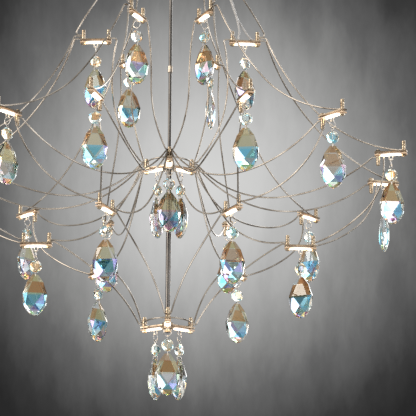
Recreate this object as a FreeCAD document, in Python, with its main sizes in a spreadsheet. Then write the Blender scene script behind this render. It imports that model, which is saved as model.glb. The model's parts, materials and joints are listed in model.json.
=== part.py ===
"""Crystal chandelier: a light cage of bent metal wires on a slim rod, with short LED light bars
clamped where the wires meet and one faceted crystal pendant under each bar.

Millimetres, +Z up, origin on the ceiling face of the bracket. Azimuth is counted from -Y (the
front) towards +X. Heights named *_rise are measured from the centre hub.
"""
import FreeCAD
import Part
import math
import os

Vector = FreeCAD.Vector

DRIVING = [
    # hanging
    ("hub_drop", 560.0, "ceiling to centre hub"),
    ("top_rise", 310.0, "centre hub up to top hub"),
    ("bottom_rise", -197.0, "centre hub down to bottom hub"),
    ("rod_radius", 2.0, "rod from ceiling to finial nut"),
    ("tube_radius", 3.0, "sleeve tube between centre and bottom hub"),
    ("coupler_radius", 2.9, "rod coupler"),
    ("coupler_length", 8.0, "rod coupler"),
    ("coupler_rise", 124.0, "middle of the rod coupler"),
    ("slide_gap", 0.05, "clearance of anything slid over a rod or screw"),
    # ceiling bracket and canopy
    ("bracket_radius", 50.0, "ceiling bracket plate"),
    ("bracket_thick", 3.0, "ceiling bracket plate"),
    ("boss_radius", 7.0, "threaded boss under the bracket"),
    ("boss_length", 12.0, "threaded boss under the bracket"),
    ("screw_circle", 80.0, "pitch circle of the ceiling screws"),
    ("screw_hole_radius", 2.5, "ceiling screw holes"),
    ("screw_count", 3, "ceiling screw holes"),
    ("canopy_radius", 60.0, "ceiling canopy"),
    ("canopy_height", 28.0, "ceiling canopy"),
    ("canopy_wall", 1.5, "ceiling canopy"),
    ("canopy_round", 6.0, "ceiling canopy lower edge"),
    ("rod_nut_flats", 8.0, "rod nuts across flats"),
    ("rod_nut_height", 4.0, "rod nuts"),
    # rings of light bars
    ("upper_radius", 91.0, "upper ring, bar middles"),
    ("upper_rise", 162.0, "upper ring"),
    ("upper_spread", 26.2, "upper ring bars either side of an arm, degrees"),
    ("middle_radius", 267.5, "middle ring, bar middles"),
    ("middle_rise", 0.0, "middle ring"),
    ("near_spread", 18.0, "middle ring inner pair, degrees"),
    ("wide_spread", 43.0, "middle ring outer pair, degrees"),
    ("lower_radius", 157.5, "lower ring, bar middles"),
    ("lower_rise", -96.5, "lower ring"),
    ("lower_spread", 27.0, "lower ring, degrees"),
    # light bar
    ("bar_length", 38.0, "light bar"),
    ("bar_width", 7.0, "light bar"),
    ("bar_thick", 1.5, "upper strip"),
    ("board_thick", 1.2, "LED board"),
    ("bar_gap", 1.8, "gap between strip and board"),
    ("post_pitch", 30.6, "clamp screw to clamp screw"),
    ("chip_length", 3.5, "LED chip"),
    ("chip_width", 2.8, "LED chip"),
    ("chip_thick", 0.7, "LED chip"),
    ("chip_pitch", 5.0, "LED chips along a board"),
    # hubs
    ("hub_post_radius", 31.5, "clamp screw of each hub arm from the rod"),
    ("hub_boss_radius", 6.5, "hub boss on the rod"),
    ("hub_boss_height", 7.2, "hub boss on the rod"),
    ("hub_board_start", 8.0, "inner end of a hub board from the rod"),
    ("ring_wire_radius", 0.95, "round wire ring on each hub"),
    # clamps
    ("screw_radius", 1.25, "clamp screw shank"),
    ("screw_head_radius", 2.3, "clamp screw head"),
    ("screw_head_height", 1.8, "clamp screw head"),
    ("screw_tip", 0.8, "clamp screw beyond its nut"),
    ("nut_flats", 5.0, "clamp nut across flats"),
    ("nut_height", 2.2, "clamp nut"),
    ("barrel_radius", 2.5, "wire terminal on a light bar"),
    ("hub_barrel_radius", 3.2, "wire terminal on a hub arm"),
    ("barrel_height", 9.6, "wire terminal"),
    ("spacer_radius", 2.2, "spacer between strip and board"),
    ("seat_depth", 1.0, "wire end inside its terminal"),
    ("first_level", 1.3, "lowest wire above the strip"),
    ("level_step", 2.2, "wire to wire in a terminal"),
    # frame wires
    ("wire_radius", 0.95, "bent frame wires"),
    ("bend_radius", 3.2, "sharp bend at a clamp"),
    ("hook_reach", 11.0, "wire out of an upper bar before its bend"),
    ("lead_reach", 6.5, "wire out of any other clamp before its bend"),
    ("solder_side", 2.5, "soldered wire from the board's middle line"),
    ("solder_inset", 9.0, "soldered wire inward of the crystal clip"),
    ("solder_drop", 4.0, "soldered wire straight down before its bend"),
    # power leads
    ("lead_radius", 1.25, "insulated power leads"),
    ("lead_pair_pitch", 2.8, "lead to lead"),
    ("lead_exit", 9.0, "leads from the rod's middle, through the canopy"),
    # crystal clip and pendant
    ("clip_wire_radius", 0.6, "U clip"),
    ("clip_width", 4.0, "U clip, leg to leg"),
    ("clip_depth", 6.5, "U clip below the board"),
    ("clip_corner", 1.0, "U clip corners"),
    ("swing_gap", 0.3, "play of the pendant ring on its clip"),
    ("ring_radius", 4.6, "pendant ring"),
    ("ring_wire", 0.5, "pendant ring wire"),
    ("eye_radius", 1.7, "pin eye"),
    ("pin_radius", 0.4, "pin wire"),
    ("link_gap", 0.1, "play between pendant links"),
    ("bead_size", 14.0, "octagon bead across flats"),
    ("bead_thick", 8.0, "octagon bead"),
    ("bead_table", 8.6, "octagon bead table across flats"),
    ("bead_girdle", 1.4, "octagon bead rim"),
    ("bead_top", 20.2, "bead top below the bar middle"),
    ("stirrup_width", 5.4, "stirrup through the drop"),
    ("stirrup_height", 5.0, "stirrup through the drop"),
    ("stirrup_corner", 0.9, "stirrup corners"),
    ("drop_length", 50.0, "crystal drop"),
    ("drop_width", 29.0, "crystal drop"),
    ("drop_thick", 14.0, "crystal drop"),
    ("drop_hole_radius", 1.1, "hole in the drop"),
    ("drop_hole_inset", 3.2, "hole centre below the drop's top"),
]

doc = FreeCAD.newDocument("CrystalChandelier")
sheet = doc.addObject("Spreadsheet::Sheet", "Sizes")
for row, (alias, value, note) in enumerate(DRIVING, start=1):
    sheet.set(f"A{row}", note)
    sheet.set(f"B{row}", str(value))
    sheet.setAlias(f"B{row}", alias)
doc.recompute()


class Sizes:
    """The sheet's cells by alias."""

    def __getattr__(self, alias):
        return float(sheet.get(alias))


S = Sizes()
NODES = []


def node(thing, label):
    """Mark a document object as one sub-part under its plain name."""
    thing.Label = label
    NODES.append(thing)
    return thing


def bind(thing, **sizes):
    for name, expression in sizes.items():
        thing.setExpression(name, expression)
    return thing


def solids_node(shapes, label):
    """One node of separate solids."""
    thing = doc.addObject("Part::Feature", label)
    thing.Shape = Part.makeCompound(shapes)
    return node(thing, label)


# ---------------------------------------------------------------- places

HUB_Z = -S.hub_drop
STRIP_TOP = S.bar_gap / 2 + S.bar_thick
BOARD_UNDER = -S.bar_gap / 2 - S.board_thick
HALF_PITCH = S.post_pitch / 2
HUB_BAR_RADIUS = S.hub_post_radius - HALF_PITCH
ARMS = (0.0, 120.0, -120.0)
SIDES = (1, -1)


def outward(azimuth):
    angle = math.radians(azimuth)
    return Vector(math.sin(angle), -math.cos(angle), 0)


def sideways(azimuth):
    angle = math.radians(azimuth)
    return Vector(math.cos(angle), math.sin(angle), 0)


class Station:
    """A light bar's place: local X points outward, local Y towards rising azimuth."""

    def __init__(self, radius, rise, azimuth):
        self.azimuth = azimuth
        self.middle = outward(azimuth) * radius + Vector(0, 0, HUB_Z + rise)
        turn = FreeCAD.Rotation(Vector(0, 0, 1), azimuth - 90)
        self.placement = FreeCAD.Placement(self.middle, turn)

    def point(self, along, across, up):
        return self.placement.multVec(Vector(along, across, up))

    def place(self, shape):
        copy = shape.copy()
        copy.Placement = self.placement.multiply(copy.Placement)
        return copy


def ring_stations(radius, rise, spread):
    return {(arm, side): Station(radius, rise, arm + side * spread) for arm in ARMS for side in SIDES}


UPPER = ring_stations(S.upper_radius, S.upper_rise, S.upper_spread)
NEAR = ring_stations(S.middle_radius, S.middle_rise, S.near_spread)
WIDE = ring_stations(S.middle_radius, S.middle_rise, S.wide_spread)
LOWER = ring_stations(S.lower_radius, S.lower_rise, S.lower_spread)
TOP_HUB = {arm: Station(HUB_BAR_RADIUS, S.top_rise, arm) for arm in ARMS}
CENTRE_HUB = {arm: Station(HUB_BAR_RADIUS, 0, arm) for arm in ARMS}
BOTTOM_HUB = {arm: Station(HUB_BAR_RADIUS, S.bottom_rise, arm) for arm in ARMS}
RING_STATIONS = [*UPPER.values(), *NEAR.values(), *WIDE.values(), *LOWER.values()]
LIT_HUB_STATIONS = [*CENTRE_HUB.values(), *BOTTOM_HUB.values()]
HUB_STATIONS = [*TOP_HUB.values(), *LIT_HUB_STATIONS]
LIT_STATIONS = RING_STATIONS + LIT_HUB_STATIONS


# ---------------------------------------------------------------- ceiling and rod

def origin_part(body, role):
    return next(item for item in body.Origin.OriginFeatures if item.Role == role)


def make_bracket():
    """Round plate with a threaded boss for the rod and holes for the ceiling screws."""
    body = doc.addObject("PartDesign::Body", "Bracket")
    sketch = body.newObject("Sketcher::SketchObject", "BracketProfile")
    sketch.AttachmentSupport = (origin_part(body, "XZ_Plane"), [""])
    sketch.MapMode = "FlatFace"
    bore = S.rod_radius + S.slide_gap
    under = -S.bracket_thick
    tip = under - S.boss_length
    corners = [(0, 0), (S.bracket_radius, 0), (S.bracket_radius, under), (S.boss_radius, under),
               (S.boss_radius, tip), (bore, tip), (bore, under), (0, under)]
    for start, end in zip(corners, corners[1:] + corners[:1]):
        sketch.addGeometry(Part.LineSegment(Vector(*start, 0), Vector(*end, 0)))
    turned = body.newObject("PartDesign::Revolution", "BracketTurned")
    turned.Profile = sketch
    turned.ReferenceAxis = (sketch, ["V_Axis"])
    turned.Angle = 360
    doc.recompute()
    holes = body.newObject("Sketcher::SketchObject", "ScrewHole")
    holes.AttachmentSupport = (origin_part(body, "XY_Plane"), [""])
    holes.MapMode = "FlatFace"
    centre = Vector(0, -S.screw_circle / 2, 0)
    holes.addGeometry(Part.Circle(centre, Vector(0, 0, 1), S.screw_hole_radius))
    pocket = body.newObject("PartDesign::Pocket", "ScrewHoleCut")
    pocket.Profile = holes
    bind(pocket, Length="Sizes.bracket_thick * 2")
    pocket.Midplane = True
    doc.recompute()
    pattern = body.newObject("PartDesign::PolarPattern", "ScrewHoles")
    pattern.Originals = [pocket]
    pattern.Axis = (origin_part(body, "Z_Axis"), [""])
    pattern.Angle = 360
    bind(pattern, Occurrences="Sizes.screw_count")
    body.Tip = pattern
    return node(body, "ceiling_bracket")


def make_canopy():
    """Shallow spun cup over the bracket, open towards the ceiling."""
    radius = S.canopy_radius
    wall = S.canopy_wall
    rounding = S.canopy_round
    floor = -S.canopy_height
    bore = S.rod_radius + S.slide_gap
    inner = rounding - wall
    centre = Vector(radius - rounding, 0, floor + rounding)
    slope = Vector(math.sqrt(0.5), 0, -math.sqrt(0.5))
    points = [Vector(bore, 0, floor), Vector(radius - rounding, 0, floor), Vector(radius, 0, floor + rounding),
              Vector(radius, 0, 0), Vector(radius - wall, 0, 0), Vector(radius - wall, 0, floor + rounding),
              Vector(radius - rounding, 0, floor + wall), Vector(bore, 0, floor + wall)]
    edges = [Part.LineSegment(points[0], points[1]), Part.Arc(points[1], centre + slope * rounding, points[2]),
             Part.LineSegment(points[2], points[3]), Part.LineSegment(points[3], points[4]),
             Part.LineSegment(points[4], points[5]), Part.Arc(points[5], centre + slope * inner, points[6]),
             Part.LineSegment(points[6], points[7]), Part.LineSegment(points[7], points[0])]
    profile = Part.Face(Part.Wire([edge.toShape() for edge in edges]))
    cup = profile.revolve(Vector(0, 0, 0), Vector(0, 0, 1), 360)
    for across in lead_offsets():
        at = lead_point(S.lead_exit - S.upper_radius, across, 0)
        at.z = floor - wall
        cup = cup.cut(Part.makeCylinder(S.lead_radius + S.slide_gap, 3 * wall, at))
    thing = doc.addObject("Part::Feature", "Canopy")
    thing.Shape = cup
    return node(thing, "canopy")


def make_rod():
    """One straight rod from the bracket's boss through all three hubs."""
    rod = doc.addObject("Part::Cylinder", "Rod")
    bind(rod, Radius="Sizes.rod_radius",
         Height="Sizes.hub_drop - Sizes.bottom_rise - Sizes.bracket_thick + Sizes.hub_boss_height / 2"
                " + Sizes.rod_nut_height + 1")
    bind(rod, **{"Placement.Base.z": "-Sizes.hub_drop + Sizes.bottom_rise - Sizes.hub_boss_height / 2"
                                     " - Sizes.rod_nut_height - 1"})
    return node(rod, "suspension_rod")


def make_sleeve(name, label, outer, length, base):
    """A tube slid over the rod; outer, length and base are expressions on the sheet."""
    skin = doc.addObject("Part::Cylinder", name + "Skin")
    bind(skin, Radius=outer, Height=length, **{"Placement.Base.z": base})
    bore = doc.addObject("Part::Cylinder", name + "Bore")
    bind(bore, Radius="Sizes.rod_radius + Sizes.slide_gap", Height=length, **{"Placement.Base.z": base})
    sleeve = doc.addObject("Part::Cut", name)
    sleeve.Base = skin
    sleeve.Tool = bore
    return node(sleeve, label)


def make_rod_nuts():
    """One nut holds the canopy up, the other is the finial nut under the bottom hub."""
    seats = [-S.canopy_height, HUB_Z + S.bottom_rise - S.hub_boss_height / 2]
    nuts = []
    for seat in seats:
        nut = hex_prism(S.rod_nut_flats, S.rod_nut_height)
        nut = nut.cut(Part.makeCylinder(S.rod_radius + S.slide_gap, S.rod_nut_height))
        nut.translate(Vector(0, 0, seat - S.rod_nut_height))
        nuts.append(nut)
    return solids_node(nuts, "rod_nuts")


def hex_prism(flats, height):
    corner = flats / math.sqrt(3)
    points = [Vector(corner * math.cos(math.radians(60 * k)), corner * math.sin(math.radians(60 * k)), 0)
              for k in range(7)]
    return Part.Face(Part.makePolygon(points)).extrude(Vector(0, 0, height))


# ---------------------------------------------------------------- light bars and hubs

def strip_with_holes(start, end, bottom, thick, holes):
    """A flat strip along local X with a clamp hole at each given place."""
    strip = Part.makeBox(end - start, S.bar_width, thick, Vector(start, -S.bar_width / 2, bottom))
    for place in holes:
        strip = strip.cut(Part.makeCylinder(S.screw_radius + S.slide_gap, thick, Vector(place, 0, bottom)))
    return strip


def make_hub(stations, label):
    """Three radial arms on a boss that the rod runs through."""
    centre = Vector(0, 0, stations[0.0].middle.z)
    boss = Part.makeCylinder(S.hub_boss_radius, S.hub_boss_height, centre - Vector(0, 0, S.hub_boss_height / 2))
    arms = []
    for station in stations.values():
        arm = strip_with_holes(-HUB_BAR_RADIUS, S.bar_length / 2, S.bar_gap / 2, S.bar_thick, [HALF_PITCH])
        arms.append(station.place(arm))
    spider = boss.fuse(arms).removeSplitter()
    bore = Part.makeCylinder(S.rod_radius + S.slide_gap, 2 * S.hub_boss_height,
                             centre - Vector(0, 0, S.hub_boss_height))
    thing = doc.addObject("Part::Feature", label)
    thing.Shape = spider.cut(bore)
    return node(thing, label)


def make_strips(stations, label):
    half = S.bar_length / 2
    strip = strip_with_holes(-half, half, S.bar_gap / 2, S.bar_thick, [-HALF_PITCH, HALF_PITCH])
    return solids_node([station.place(strip) for station in stations], label)


def make_boards():
    """White LED boards hung under the strips on the clamp screws."""
    half = S.bar_length / 2
    full = strip_with_holes(-half, half, BOARD_UNDER, S.board_thick, [-HALF_PITCH, HALF_PITCH])
    start = S.hub_board_start - HUB_BAR_RADIUS
    short = strip_with_holes(start, half, BOARD_UNDER, S.board_thick, [HALF_PITCH])
    boards = [station.place(full) for station in RING_STATIONS]
    boards += [station.place(short) for station in LIT_HUB_STATIONS]
    return solids_node(boards, "led_boards")


def make_chips():
    """LED chips on the underside of each board, clear of the crystal clip in the middle."""
    corner = Vector(-S.chip_length / 2, -S.chip_width / 2, BOARD_UNDER - S.chip_thick)
    chip = Part.makeBox(S.chip_length, S.chip_width, S.chip_thick, corner)
    chips = []
    for station in LIT_STATIONS:
        steps = (-1, 1, 2) if station in LIT_HUB_STATIONS else (-2, -1, 1, 2)
        for step in steps:
            one = chip.copy()
            one.translate(Vector(step * S.chip_pitch, 0, 0))
            chips.append(station.place(one))
    return solids_node(chips, "led_chips")


def make_hub_rings():
    """A round wire ring lies on the arms of each hub, against the inner side of the terminals."""
    radius = S.hub_post_radius - S.hub_barrel_radius - S.ring_wire_radius - S.slide_gap
    rings = []
    for stations in (TOP_HUB, CENTRE_HUB, BOTTOM_HUB):
        height = stations[0.0].middle.z + STRIP_TOP + S.ring_wire_radius
        rings.append(Part.makeTorus(radius, S.ring_wire_radius, Vector(0, 0, height)))
    return solids_node(rings, "hub_rings")


# ---------------------------------------------------------------- clamp posts

class Post:
    """A clamp screw with its wire terminal, standing up from a bar or hanging down from it."""

    def __init__(self, station, along, up, radius, under):
        self.station = station
        self.along = along
        self.up = up
        self.radius = radius
        self.under = under
        self.ends = []

    def axis_point(self, level):
        rise = S.first_level + level * S.level_step
        height = STRIP_TOP + rise if self.up else self.under - rise
        return self.station.point(self.along, 0, height)

    def terminal(self):
        base = STRIP_TOP if self.up else self.under - S.barrel_height
        foot = self.station.point(self.along, 0, base)
        barrel = Part.makeCylinder(self.radius, S.barrel_height, foot)
        barrel = barrel.cut(Part.makeCylinder(S.screw_radius + S.slide_gap, S.barrel_height, foot))
        for point, way in self.ends:
            start = point + way * (self.radius - S.seat_depth - S.slide_gap)
            hole = Part.makeCylinder(S.wire_radius + S.slide_gap, 2 * S.seat_depth + 1, start, way)
            barrel = barrel.cut(hole)
        return barrel

    def screw(self):
        """Shank through terminal, strip, spacer, board and nut, with its head on the terminal."""
        far = STRIP_TOP + S.barrel_height if self.up else self.under - S.barrel_height
        near = self.under - S.nut_height - S.screw_tip if self.up else STRIP_TOP + S.nut_height + S.screw_tip
        low = min(far, near)
        shank = Part.makeCylinder(S.screw_radius, abs(far - near), self.station.point(self.along, 0, low))
        head_foot = far if self.up else far - S.screw_head_height
        head = Part.makeCylinder(S.screw_head_radius, S.screw_head_height,
                                 self.station.point(self.along, 0, head_foot))
        return shank.fuse(head).removeSplitter()

    def nut(self):
        foot = self.under - S.nut_height if self.up else STRIP_TOP
        nut = hex_prism(S.nut_flats, S.nut_height)
        nut = nut.cut(Part.makeCylinder(S.screw_radius + S.slide_gap, S.nut_height))
        nut.translate(Vector(self.along, 0, foot))
        return self.station.place(nut)

    def spacer(self):
        foot = self.station.point(self.along, 0, -S.bar_gap / 2)
        spacer = Part.makeCylinder(S.spacer_radius, S.bar_gap, foot)
        return spacer.cut(Part.makeCylinder(S.screw_radius + S.slide_gap, S.bar_gap, foot))


def ring_posts(stations, along, up):
    return {key: Post(station, along, up, S.barrel_radius, BOARD_UNDER) for key, station in stations.items()}


def hub_posts(stations, under):
    return {arm: Post(station, HALF_PITCH, True, S.hub_barrel_radius, under)
            for arm, station in stations.items()}


UPPER_OUT = ring_posts(UPPER, HALF_PITCH, True)
UPPER_IN = ring_posts(UPPER, -HALF_PITCH, True)
NEAR_OUT = ring_posts(NEAR, HALF_PITCH, True)
NEAR_IN = ring_posts(NEAR, -HALF_PITCH, False)
WIDE_OUT = ring_posts(WIDE, HALF_PITCH, True)
WIDE_IN = ring_posts(WIDE, -HALF_PITCH, False)
LOWER_OUT = ring_posts(LOWER, HALF_PITCH, True)
LOWER_IN = ring_posts(LOWER, -HALF_PITCH, True)
TOP_POSTS = hub_posts(TOP_HUB, S.bar_gap / 2)
CENTRE_POSTS = hub_posts(CENTRE_HUB, BOARD_UNDER)
BOTTOM_POSTS = hub_posts(BOTTOM_HUB, BOARD_UNDER)
POST_GROUPS = (UPPER_OUT, UPPER_IN, NEAR_OUT, NEAR_IN, WIDE_OUT, WIDE_IN, LOWER_OUT, LOWER_IN,
               TOP_POSTS, CENTRE_POSTS, BOTTOM_POSTS)
POSTS = [post for group in POST_GROUPS for post in group.values()]


def make_clamps():
    solids_node([post.terminal() for post in POSTS], "wire_terminals")
    solids_node([post.screw() for post in POSTS], "clamp_screws")
    solids_node([post.nut() for post in POSTS], "clamp_nuts")
    solids_node([post.spacer() for post in POSTS if post.station in LIT_STATIONS], "bar_spacers")


# ---------------------------------------------------------------- bent wires

def heading(azimuth, turn, climb):
    """Unit vector: turn is counted from outward towards rising azimuth, climb above level."""
    level = outward(azimuth) * math.cos(math.radians(turn)) + sideways(azimuth) * math.sin(math.radians(turn))
    return level * math.cos(math.radians(climb)) + Vector(0, 0, math.sin(math.radians(climb)))


def corner_edges(before, corner, after, radius):
    """The arc that rounds a corner, with its two tangent points."""
    back = (before - corner).normalize()
    ahead = (after - corner).normalize()
    half = back.getAngle(ahead) / 2
    cut = radius / math.tan(half)
    start = corner + back * cut
    end = corner + ahead * cut
    centre = corner + (back + ahead).normalize() * (radius / math.sin(half))
    middle = centre + (corner - centre).normalize() * radius
    return start, middle, end


def arc_edge(start, way, end):
    """The arc from start, leaving along way, to end."""
    chord = end - start
    normal = way.cross(chord)
    inward = normal.cross(way).normalize()
    radius = chord.dot(chord) / (2 * chord.dot(inward))
    centre = start + inward * radius
    middle = centre + ((start + end) / 2 - centre).normalize() * abs(radius)
    return Part.Arc(start, middle, end).toShape()


def biarc_edges(start, leaving, end, arriving):
    """Two tangent arcs between two points with given directions."""
    gap = end - start
    both = leaving + arriving
    square = 2 * (1 - leaving.dot(arriving))
    linear = 2 * gap.dot(both)
    reach = (-linear + math.sqrt(linear * linear + 4 * square * gap.dot(gap))) / (2 * square)
    first = start + leaving * reach
    second = end - arriving * reach
    joint = (first + second) / 2
    one = arc_edge(start, leaving, joint)
    two = arc_edge(joint, (second - first).normalize(), end)
    return [one, two]


def tube(edges, radius):
    """A round bar along a smooth chain of edges; its volume is checked against its length."""
    path = Part.Wire(edges)
    start = path.Edges[0].valueAt(path.Edges[0].FirstParameter)
    way = path.Edges[0].tangentAt(path.Edges[0].FirstParameter)
    ring = Part.Wire([Part.Circle(start, way, radius).toShape()])
    solid = path.makePipeShell([ring], True, False)
    expected = math.pi * radius * radius * path.Length
    if abs(solid.Volume - expected) > 0.01 * expected:
        raise ValueError(f"a bent wire came out as {solid.Volume:.1f}, not {expected:.1f} mm3")
    return solid


class Route:
    """How one kind of frame wire runs, on the rising-azimuth side of an arm.

    leave and arrive are (turn, climb) of the long curve at each end. exit_turn and entry_turn aim
    the straight stretches at the two clamps, outward from each clamp. solder is the side of the
    board, counted away from the arm, on which a soldered wire starts.
    """

    def __init__(self, leave, arrive, exit_turn, entry_turn, reach, levels, solder=1):
        self.leave = leave
        self.arrive = arrive
        self.exit_turn = exit_turn
        self.entry_turn = entry_turn
        self.reach = reach
        self.levels = levels
        self.solder = solder


HOOK = S.hook_reach
LEAD = S.lead_reach
CROWN = Route((156, 57), (208, 68), 0, 28, (HOOK, LEAD), (2, 0))
BELL = Route((-49, -69), (221, -49), 180, 42, (HOOK, LEAD), (0, 3))
WIDE_ARCH = Route((42, -67), (13, -13), 18, 193, (HOOK, LEAD), (1, 0))
NEAR_ARCH = Route((-28, -69), (-7, -16), -8, 173, (HOOK, LEAD), (0, 0))
NEAR_SWAG = Route((195, -38), (205, 51), 195, 25, (LEAD, LEAD), (0, 1))
WIDE_SWAG = Route((187, -37), (220, 50), 187, 40, (LEAD, LEAD), (0, 2))
NEAR_STAY = Route((248, -77), (150, -20), None, -33, (0, LEAD), (None, 0))
WIDE_STAY = Route((275, -73), (223, -8), None, 44, (0, LEAD), (None, 1), -1)
LOWER_SWAG = Route((189, -7), (206, 70), 189, 26, (LEAD, LEAD), (1, 0))
BASKET = Route((184, -31), (214, -63), 184, 34, (LEAD, LEAD), (0, 1))


def clamp_end(post, level, turn, reach):
    """The seat of a wire end in a terminal and the end of its straight stretch."""
    axis = post.axis_point(level)
    way = heading(post.station.azimuth, turn, 0)
    post.ends.append((axis, way))
    seat = axis + way * (post.radius - S.seat_depth)
    return seat, axis + way * reach


def frame_wire(route, start, end, side):
    """One bent wire; start is a Post or a Station to which the wire is soldered."""
    leave_from = start.station if isinstance(start, Post) else start
    leaving = heading(leave_from.azimuth, side * route.leave[0], route.leave[1])
    arriving = heading(end.station.azimuth, side * route.arrive[0], route.arrive[1])
    if isinstance(start, Post):
        seat, corner = clamp_end(start, route.levels[0], side * route.exit_turn, route.reach[0])
    else:
        seat = start.point(-S.solder_inset, side * route.solder * S.solder_side, BOARD_UNDER)
        corner = seat - Vector(0, 0, S.solder_drop)
    end_seat, end_corner = clamp_end(end, route.levels[1], side * route.entry_turn, route.reach[1])
    first = corner_edges(seat, corner, corner + leaving, S.bend_radius)
    last = corner_edges(end_corner - arriving, end_corner, end_seat, S.bend_radius)
    edges = [Part.LineSegment(seat, first[0]).toShape(), Part.Arc(*first).toShape()]
    edges += biarc_edges(first[2], leaving, last[0], arriving)
    edges += [Part.Arc(*last).toShape(), Part.LineSegment(last[2], end_seat).toShape()]
    return tube(edges, S.wire_radius)


def wire_family(route, starts, ends):
    """The six wires of one kind; ends may be per bar or per arm."""
    wires = []
    for arm in ARMS:
        for side in SIDES:
            end = ends[arm] if arm in ends else ends[(arm, side)]
            wires.append(frame_wire(route, starts[(arm, side)], end, side))
    return wires


def make_frame_wires():
    solids_node(wire_family(CROWN, UPPER_OUT, TOP_POSTS), "crown_wires")
    solids_node(wire_family(BELL, UPPER_IN, CENTRE_POSTS), "bell_wires")
    solids_node(wire_family(WIDE_ARCH, UPPER_OUT, WIDE_OUT), "wide_arch_wires")
    solids_node(wire_family(NEAR_ARCH, UPPER_OUT, NEAR_OUT), "near_arch_wires")
    solids_node(wire_family(NEAR_SWAG, NEAR_IN, CENTRE_POSTS), "near_swag_wires")
    solids_node(wire_family(WIDE_SWAG, WIDE_IN, CENTRE_POSTS), "wide_swag_wires")
    stays = wire_family(NEAR_STAY, NEAR, LOWER_OUT) + wire_family(WIDE_STAY, WIDE, LOWER_OUT)
    solids_node(stays, "stay_wires")
    solids_node(wire_family(LOWER_SWAG, LOWER_IN, CENTRE_POSTS), "lower_swag_wires")
    solids_node(wire_family(BASKET, LOWER_IN, BOTTOM_POSTS), "basket_wires")


# ---------------------------------------------------------------- power leads

# bends of the leads, along the bar that they feed and up from its middle
LEADS_SHARED = ((-57.0, 165.0), (-38.0, 112.0), (-16.5, 54.0), (-10.0, 32.0))
LEAD_INNER = ((-6.5, 14.0), (-8.0, STRIP_TOP + 5.0), (-8.0, STRIP_TOP))
LEAD_END = HALF_PITCH - S.barrel_radius - 3 * S.slide_gap
LEAD_OUTER = ((2.5, 12.0), (8.0, STRIP_TOP + 2.4), (LEAD_END, STRIP_TOP + 2.0))
LEADS_LEAVE_ROD = 225.0


def lead_offsets():
    return (-S.lead_pair_pitch / 2, S.lead_pair_pitch / 2)


def lead_point(along, across, up):
    return UPPER[(120.0, -1)].point(along, across, up)


def rounded_route(points, radius):
    """Edges of a chain of straight runs with each corner rounded."""
    edges = []
    at = points[0]
    for before, corner, after in zip(points, points[1:], points[2:]):
        start, middle, end = corner_edges(before, corner, after, radius)
        edges.append(Part.LineSegment(at, start).toShape())
        edges.append(Part.Arc(start, middle, end).toShape())
        at = end
    edges.append(Part.LineSegment(at, points[-1]).toShape())
    return edges


def flowing_route(points):
    """Edges of a route whose every corner has the widest arc that its two runs allow."""
    edges = []
    at = points[0]
    for before, corner, after in zip(points, points[1:], points[2:]):
        turn = (corner - before).getAngle(after - corner)
        shorter = min((corner - before).Length, (after - corner).Length)
        start, middle, end = corner_edges(before, corner, after, 0.45 * shorter / math.tan(turn / 2))
        edges.append(Part.LineSegment(at, start).toShape())
        edges.append(Part.Arc(start, middle, end).toShape())
        at = end
    edges.append(Part.LineSegment(at, points[-1]).toShape())
    return edges


def make_leads():
    """Two insulated leads run down beside the rod, then out to one upper bar, which feeds the cage."""
    leads = []
    for across, own in zip(lead_offsets(), (LEAD_INNER, LEAD_OUTER)):
        beside_rod = lead_point(S.lead_exit - S.upper_radius, across, LEADS_LEAVE_ROD)
        in_canopy = Vector(beside_rod.x, beside_rod.y, 3 * S.canopy_wall - S.canopy_height)
        route = [in_canopy, beside_rod]
        route += [lead_point(along, across, up) for along, up in LEADS_SHARED + own]
        leads.append(tube(flowing_route(route), S.lead_radius))
    return solids_node(leads, "power_leads")


# ---------------------------------------------------------------- crystal clips and pendants

CLIP_LOW = BOARD_UNDER - S.clip_depth
RING_TOP = CLIP_LOW + S.clip_wire_radius + S.swing_gap + S.ring_wire
RING_MIDDLE = RING_TOP - S.ring_radius
EYE_TOP = RING_MIDDLE - S.ring_radius + S.ring_wire + S.link_gap + S.pin_radius
EYE_MIDDLE = EYE_TOP - S.eye_radius
BEAD_MIDDLE = -S.bead_top - S.bead_size / 2
STIRRUP_TOP = -S.bead_top - S.bead_size - 3 * S.link_gap - S.pin_radius
STIRRUP_LOW = STIRRUP_TOP - S.stirrup_height
DROP_HOLE = STIRRUP_LOW + S.pin_radius + S.link_gap - S.drop_hole_radius
DROP_TOP = DROP_HOLE + S.drop_hole_inset


def make_clips():
    """A U of stiff wire under each board; the pendant ring hangs on its lower bar."""
    half = S.clip_width / 2
    corners = [Vector(-half, 0, BOARD_UNDER), Vector(-half, 0, CLIP_LOW),
               Vector(half, 0, CLIP_LOW), Vector(half, 0, BOARD_UNDER)]
    clip = tube(rounded_route(corners, S.clip_corner), S.clip_wire_radius)
    return solids_node([station.place(clip) for station in LIT_STATIONS], "crystal_clips")


def faceted(rings):
    """A closed solid of flat facets through rings of points; a ring of one point is a tip."""
    faces = []
    for end in (rings[0], rings[-1]):
        if len(end) > 1:
            faces.append(Part.Face(Part.makePolygon(end + end[:1])))
    for upper, lower in zip(rings, rings[1:]):
        count = max(len(upper), len(lower))
        for k in range(count):
            a = upper[k % len(upper)]
            b = upper[(k + 1) % len(upper)]
            c = lower[k % len(lower)]
            d = lower[(k + 1) % len(lower)]
            for corners in ((a, b, c), (b, d, c)):
                if len({tuple(point) for point in corners}) == 3:
                    faces.append(Part.Face(Part.makePolygon([*corners, corners[0]])))
    solid = Part.Solid(Part.makeShell(faces))
    if solid.Volume < 0:
        solid.reverse()
    return solid


def drop_ring(width, thick, height, shift):
    """Eight points round the drop's section, shifted by part of a step."""
    points = []
    for k in range(8):
        angle = math.radians(45 * (k + shift))
        points.append(Vector(thick / 2 * math.cos(angle), width / 2 * math.sin(angle), height))
    return points


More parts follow.
